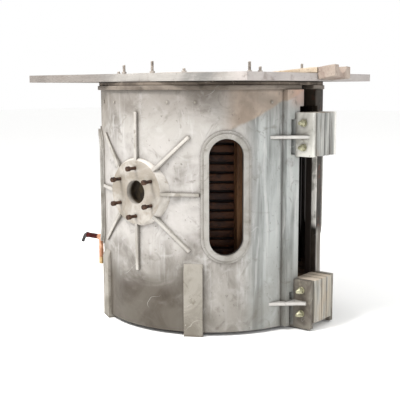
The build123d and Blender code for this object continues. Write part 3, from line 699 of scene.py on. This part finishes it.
def threaded(radius, z0, z1):
    """Screwed bar from z0 up to a chamfered tip at z1: a core, and one ridge wound round it."""
    pitch = 2.0
    depth = 1.1
    tip = 1.5
    core_r = radius - depth
    core = turned([(core_r, z0), (core_r, z1 - tip), (core_r - 1.2, z1)], 24)
    # the ridge's section is Blender's triangle of radius 1, which is 1.5 high and just under 1.74 wide
    bpy.ops.object.select_all(action="DESELECT")
    bpy.ops.mesh.primitive_circle_add(vertices=3, radius=1)
    ridge = bpy.context.object
    outwards = (0, depth * MM / 1.5, 0, (radius - depth / 1.5) * MM)
    upwards = (pitch * MM / 1.74, 0, 0, (z0 + pitch / 2) * MM)
    ridge.matrix_world = Matrix((outwards, (0, 0, 1, 0), upwards, (0, 0, 0, 1)))
    place_in_mesh(ridge)
    turns = int((z1 - z0 - tip) / pitch)
    shape(ridge, "SCREW", axis="Z", angle=2 * math.pi, screw_offset=pitch * MM, iterations=turns, steps=20,
          render_steps=20, use_merge_vertices=False)
    return join([core, ridge])


def merged_copy(name):
    """Copy of a CAD node's mesh, merged, with flat faces made whole."""
    piece = nodes[name].copy()
    piece.data = nodes[name].data.copy()
    bpy.context.scene.collection.objects.link(piece)
    piece.name = name + "_look"
    edit(piece, (bpy.ops.mesh.remove_doubles, {"threshold": CAD_MERGE}),
         (bpy.ops.mesh.dissolve_limited, {"angle_limit": math.radians(0.5)}))
    return piece


def eased(name, material, edge_mm):
    """Stands for a CAD node, with its edges rounded."""
    piece = merged_copy(name)
    rounded(piece, edge_mm, 3)
    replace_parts(finish(piece, name + "_look", material), name)


def rammed(name, material, voxel_mm, rough_mm, lump_mm):
    """Stands for a CAD node, uneven and rounded as a rammed mix is, with its hollows below the solid's own
    faces and next to nothing above them."""
    piece = merged_copy(name)
    shape(piece, "REMESH", mode="VOXEL", voxel_size=voxel_mm * MM)
    shape(piece, "SMOOTH", factor=0.5, iterations=3)
    lumps = bpy.data.textures.new(name + "_lumps", "CLOUDS")
    lumps.noise_scale = lump_mm * MM
    lumps.noise_depth = 4
    shape(piece, "DISPLACE", texture=lumps, texture_coords="GLOBAL", strength=rough_mm * MM, mid_level=0.95)
    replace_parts(finish(piece, name + "_look", material, 60), name)


def dress(material, *names):
    """Gives CAD nodes that are shown as they are their finish."""
    for name in names:
        data = nodes[name].data
        data.materials.clear()
        data.materials.append(material)


def both(*names):
    return [f"{side}_{name}" for name in names for side in ("left", "right")]


# Half shells, their trunnion hubs and feet
QUADRANTS = [(x, y) for x in (-1, 1) for y in (-1, 1)]
PLATE_SCREW_TURNS = (17.1, 30.4, 67.1)
PLATE_SCREW_Z = 957.3
FOOT_TURN = 29.2
FOOT_W = 78.0
FOOT_WELD_Z = 18.0
FOOT_WELD_L = 253.0
GUSSET_Y = 494.0
GUSSET_T = 12.0
GUSSET_WELD_L = 84.0
UPPER_GUSSET_Z = 813.0
LOWER_GUSSET_Z = 118.0


def on_shell(turn, z):
    """Places in all four quadrants that look outwards from the shell."""
    a = math.radians(turn)
    outwards = [Vector((x * math.cos(a), y * math.sin(a), 0)) for x, y in QUADRANTS]
    return [facing(out, out.x * SHELL_R, out.y * SHELL_R, z) for out in outwards]


def add_plate_screws():
    head = turned([(5.2, -1), (5.2, 2.6), (4.4, 3.6), (2.6, 4.2)], 20)
    ring = turned([(4.0, -1), (9.0, -1), (9.0, 0.8), (8.2, 1.4), (4.0, 1.4), (4.0, -1)], 32, capped=False)
    places = [place for turn in PLATE_SCREW_TURNS for place in on_shell(turn, PLATE_SCREW_Z)]
    repeated(head, places, "plate_screw_heads", BAR)
    repeated(ring, places, "plate_screw_rings", SHELL)


def weld_bead(length, radius):
    """Fillet weld along +X: overlapping ripples, flat and leaning, as the rod's dabs leave them."""
    step = 2.6
    flat = (0.62, 1, 1)
    lean = math.radians(14)
    bpy.ops.object.select_all(action="DESELECT")
    bpy.ops.mesh.primitive_uv_sphere_add(segments=10, ring_count=6, radius=radius * MM)
    bead = bpy.context.object
    edit(bead, (bpy.ops.transform.resize, {"value": flat}),
         (bpy.ops.transform.rotate, {"value": lean, "orient_axis": "Y", "center_override": (0, 0, 0)}))
    shape(bead, "ARRAY", count=int(length / step), use_relative_offset=False, use_constant_offset=True,
          constant_offset_displace=(step * MM, 0, 0))
    return bead


def add_foot_welds():
    half_angle = math.degrees(math.asin(FOOT_W / 2 / SHELL_R))
    upright = Matrix.Rotation(-math.pi / 2, 4, "Y")
    places = []
    for turn in (FOOT_TURN - half_angle, FOOT_TURN + half_angle):
        places += [at_mm(*(place.translation / MM)) @ upright for place in on_shell(turn, FOOT_WELD_Z)]
    repeated(weld_bead(FOOT_WELD_L, 3.6), places, "foot_welds", SHELL)


def add_gusset_welds():
    """Beads where each gusset meets its ear plate, above and below."""
    places = []
    for height in (UPPER_GUSSET_Z, LOWER_GUSSET_Z):
        for x, y in QUADRANTS:
            for z in (height - GUSSET_T / 2, height + GUSSET_T / 2):
                turn = Matrix.Rotation(math.radians(90 * y), 4, "Z")
                places.append(at_mm(x * EAR_FACE_X, y * GUSSET_Y, z) @ turn)
    repeated(weld_bead(GUSSET_WELD_L, 3.0), places, "gusset_welds", EAR)


def add_hub_screws(side, away):
    """Screws with a round head and a hexagon socket, drawn with the top of the head at 0."""
    head_r = 10.5
    head_h = 16.0
    under_edge = 0.8
    top_edge = 1.6
    socket_r = 12.0 / math.sqrt(3)
    socket_depth = 8.0
    low, high = mm_box(f"{side}_hub_bolts")
    length = high.x - low.x
    head = turned([(head_r - under_edge, -head_h), (head_r, -head_h + under_edge), (head_r, -top_edge),
                   (head_r - top_edge, 0)], 36)
    combine(head, turned([(socket_r, -socket_depth), (socket_r, 1)], 6), "DIFFERENCE")
    screw = join([head, threaded(HUB_SCREW_R, -length, -head_h + 1)])
    places = []
    for corner_low, corner_high in solids(f"{side}_hub_bolts"):
        middle = (corner_low + corner_high) / 2
        places.append(facing((away, 0, 0), low.x if away < 0 else high.x, middle.y, middle.z))
    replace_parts(repeated(screw, places, f"{side}_hub_screws", RUST), f"{side}_hub_bolts")


def add_shell():
    for name in both("window_rims"):
        eased(name, RIM, 4.0)
    eased("left_edge_bars", SHELL, 5.0)
    eased("right_edge_bars", SHADED_RUSTY_BAR, 5.0)
    for name in both("trunnion_hub"):
        eased(name, BORED_HUB, 3.0)
    for name in both("hub_ribs"):
        eased(name, HUB, 3.5)
    for name in both("front_foot", "rear_foot"):
        eased(name, BAR, 3.0)
    for name in both("front_upper_ear", "rear_upper_ear"):
        eased(name, EAR, 2.0)
    for name in both("front_lower_ear", "rear_lower_ear"):
        eased(name, LOW_EAR, 2.0)
    for name in both("top_flange"):
        eased(name, FLANGE, 2.0)
    dress(SHELL, *both("half_shell", "floor_ledge"))
    add_plate_screws()
    add_foot_welds()
    add_gusset_welds()
    add_hub_screws("left", -1)
    add_hub_screws("right", 1)


# Insulating blocks and the bolts through them
PLATES = 7
PLATE_GAP = 0.1
PLATE_EDGE = 1.6
PLATE_UNEVENNESS = 3.0


def add_laminate_stack(name):
    """Upright plates of slightly uneven place, bonded side by side."""
    low, high = mm_box(name)
    thickness = (high.x - low.x) / PLATES
    front = -1 if low.y < 0 else 1
    room = PLATE_UNEVENNESS / 2
    inner_low = Vector((low.x, low.y + room, low.z + room))
    inner_high = Vector((low.x + thickness - PLATE_GAP, high.y - room, high.z - room))
    plate = bar(inner_low, inner_high, PLATE_EDGE)
    places = []
    for i in range(PLATES):
        uneven = PLATE_UNEVENNESS * ((3 * i) % PLATES) / PLATES - (room - PLATE_GAP)
        places.append(at_mm(i * thickness, -front * uneven, -uneven))
    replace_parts(repeated(plate, places, name + "_plates", LAMINATE), name)


def add_ear_bolts():
    """Hexagon bolts with a washer at each end, laid along X with their nuts at -X."""
    across = 24.0
    shank_r = 8.0
    washer_r = 15.0
    washer_bore = 8.5
    washer_t = 3.0
    thread_l = 45.0
    low, high = mm_box("ear_bolts")
    nut_low, nut_high = mm_box("ear_nuts")
    head_t = high.x + nut_high.x
    length = high.x - low.x
    shank = turned([(shank_r, head_t - washer_t - 1), (shank_r, length - thread_l)], 32)
    head = hexagon(across, 0, head_t - washer_t)
    ring = washer(washer_r, washer_bore, head_t - washer_t, head_t)
    bolt = join([head, ring, shank, threaded(shank_r, length - thread_l, length)])
    bolt_places = []
    for corner_low, corner_high in solids("ear_bolts"):
        middle = (corner_low + corner_high) / 2
        bolt_places.append(facing((-1, 0, 0), high.x, middle.y, middle.z))
    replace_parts(repeated(bolt, bolt_places, "hexagon_ear_bolts", YELLOW_ZINC), "ear_bolts")
    nut_t = nut_high.x - nut_low.x
    nut = hexagon(across, washer_t, nut_t)
    combine(nut, turned([(shank_r - 0.6, 0), (shank_r - 0.6, nut_t + 2)], 32), "DIFFERENCE")
    nut = join([nut, washer(washer_r, washer_bore, 0, washer_t)])
    nut_places = [facing((-1, 0, 0), nut_high.x, *(place.translation.yz / MM)) for place in bolt_places]
    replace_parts(repeated(nut, nut_places, "hexagon_ear_nuts", YELLOW_ZINC), "ear_nuts")


# Board, its tie rods and a small plate at one of them, and the refractory
ROD_PLATE_LOW = (-468, -52)
ROD_PLATE_HIGH = (-400, 46)
ROD_PLATE_T = 1.8


def add_tie_rods():
    rod_r = 6.5
    thread_l = 51.0
    across = 19.0
    washer_r = 12.5
    washer_t = 2.0
    corners = solids("tie_rods")
    rods = []
    end = threaded(rod_r, -thread_l, 0)
    for low, high in corners:
        middle = (low + high) / 2
        shank = turned([(rod_r, low.z), (rod_r, high.z - thread_l)], 24)
        shank.matrix_world = at_mm(middle.x, middle.y, 0)
        rods += [place_in_mesh(shank), copy_to(end, at_mm(middle.x, middle.y, high.z))]
    bpy.data.objects.remove(end)
    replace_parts(finish(join(rods), "threaded_tie_rods", ZINC), "tie_rods")
    nut_low, nut_high = mm_box("tie_rod_nuts")
    nut_t = nut_high.z - nut_low.z
    nut = hexagon(across, washer_t, nut_t, 0.9)
    combine(nut, turned([(rod_r - 0.5, 0), (rod_r - 0.5, nut_t + 2)], 24), "DIFFERENCE")
    nut = join([nut, washer(washer_r, rod_r + 0.4, 0, washer_t)])
    places = []
    for low, high in corners:
        middle = (low + high) / 2
        turn = Matrix.Rotation(math.radians(middle.x % 60), 4, "Z")
        places.append(at_mm(middle.x, middle.y, nut_low.z) @ turn)
    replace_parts(repeated(nut, places, "tie_rod_nuts_and_washers", ZINC), "tie_rod_nuts")


def add_board():
    eased("top_board", BOARD, 2.5)
    eased("spacer_ring", RING, 3.0)
    board_top = mm_box("top_board")[1].z
    plate = bar((*ROD_PLATE_LOW, board_top), (*ROD_PLATE_HIGH, board_top + ROD_PLATE_T), 0.6)
    finish(plate, "rod_plate", ZINC)


def add_refractory():
    rammed("spout_block", SPOUT, voxel_mm=4.0, rough_mm=4.0, lump_mm=30)
    rammed("spout_nose", NOSE, voxel_mm=4.0, rough_mm=4.0, lump_mm=25)
    eased("crucible_lining", LINING, 5.0)
    dress(CONCRETE, "base_slab", "pedestal_block")


# Coil, posts, leads and drain
COIL_TUBE_W = 22.0
COIL_TUBE_H = 30.0
COIL_CORNER_R = 3.5
COIL_TURNS = 17
COIL_STEPS = 72
COIL_RUN = 30.0
COIL_LAP = 2.0
SLEEVE_Y = 666.0
SLEEVE_L = 20.0
SLEEVE_T = 1.8


def add_coil():
    """Rectangular tube with round corners, wound as one helix that climbs clockwise."""
    low, high = mm_box("induction_coil")
    radius = high.y - COIL_TUBE_W / 2
    z0 = low.z + COIL_TUBE_H / 2
    z1 = high.z - COIL_TUBE_H / 2
    bpy.ops.object.select_all(action="DESELECT")
    bpy.ops.mesh.primitive_plane_add(size=1)
    tube = bpy.context.object
    outwards = (COIL_TUBE_W * MM, 0, 0, radius * MM)
    upwards = (0, COIL_TUBE_H * MM, 0, z0 * MM)
    tube.matrix_world = Matrix(((0, 0, 1, 0), outwards, upwards, (0, 0, 0, 1)))
    place_in_mesh(tube)
    edit(tube, (bpy.ops.mesh.bevel, {"affect": "VERTICES", "offset": COIL_CORNER_R * MM, "segments": 3}),
         (bpy.ops.mesh.delete, {"type": "ONLY_FACE"}))
    shape(tube, "SCREW", axis="Z", angle=-2 * math.pi, screw_offset=(z1 - z0) / COIL_TURNS * MM,
          iterations=COIL_TURNS, steps=COIL_STEPS, render_steps=COIL_STEPS, use_merge_vertices=False)
    half_w = COIL_TUBE_W / 2
    half_h = COIL_TUBE_H / 2
    ends = [bar((x0, radius - half_w, z - half_h), (x1, radius + half_w, z + half_h), COIL_CORNER_R)
            for x0, x1, z in ((-COIL_RUN, COIL_LAP, z0), (-COIL_LAP, COIL_RUN, z1))]
    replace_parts(finish(join([tube] + ends), "wound_coil", VARNISH, 40), "induction_coil")
    dress(MICA, "coil_insulation")
    eased("coil_posts", POST, 2.0)
    eased("coil_terminals", COPPER, 1.5)


def add_leads():
    dress(LEAD, "lower_lead", "upper_lead")
    dress(COPPER, "drain_pipe")
    eased("hose_nozzles", PAINTED, 0.8)
    eased("drain_coupling", BRASS, 0.8)
    low, high = mm_box("lower_lead")
    middle = (low + high) / 2
    bore_r = (high.z - low.z) / 2 + 0.1
    sleeve_r = (high.z - low.z) / 2 + SLEEVE_T
    edge = 0.8
    sleeve = turned([(bore_r, 0), (sleeve_r, edge), (sleeve_r, SLEEVE_L - edge), (bore_r, SLEEVE_L),
                     (bore_r, 0)], 40, capped=False)
    repeated(sleeve, [facing((0, 1, 0), middle.x, SLEEVE_Y, middle.z)], "lead_sleeve", NOSE)


def add_floor():
    """Matt, nearly white floor, 60 m wide and half a millimetre under the feet."""
    bpy.ops.object.select_all(action="DESELECT")
    bpy.ops.mesh.primitive_plane_add(size=60, location=(0, 0, -0.5 * MM))
    floor = bpy.context.object
    floor.name = "studio_floor"
    material, _, shader, _ = new_material("pale_floor", 0.9)
    shader.inputs["Base Color"].default_value = linear("#fcfcfb")
    floor.data.materials.append(material)


add_camera()
add_studio()
add_floor()
add_shell()
for block_name in ("front_upper", "front_lower", "rear_upper", "rear_lower"):
    add_laminate_stack(block_name + "_insulating_block")
add_ear_bolts()
add_tie_rods()
add_board()
add_refractory()
add_coil()
add_leads()
